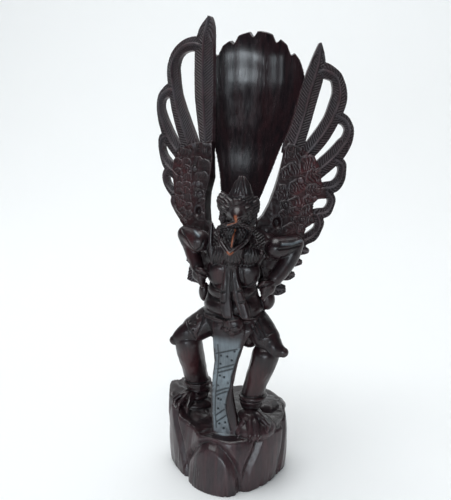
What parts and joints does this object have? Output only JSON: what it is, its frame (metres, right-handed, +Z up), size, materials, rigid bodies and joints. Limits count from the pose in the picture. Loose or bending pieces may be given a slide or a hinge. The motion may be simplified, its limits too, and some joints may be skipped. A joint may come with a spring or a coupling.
{
  "type": "carved garuda statue",
  "caption": "Carved wooden garuda squatting on a petalled rocky base, wings raised, fan tail upright behind the head, loincloth hanging to the ground.",
  "frame": {"origin": "on the flat underside of the base, near its middle, under the figure", "axes": "+Z up through the height of the figure, -Y toward the side that the figure faces, +X to the right of a viewer in front"},
  "size_m": [0.1821, 0.1475, 0.3996],
  "materials": {
    "stained_wood": "dark brown stain rubbed back to red-brown on the high places, with a waxed sheen"
  },
  "bodies": {
    "root": {"garuda_statue": "stained_wood"}
  },
  "joints": []
}
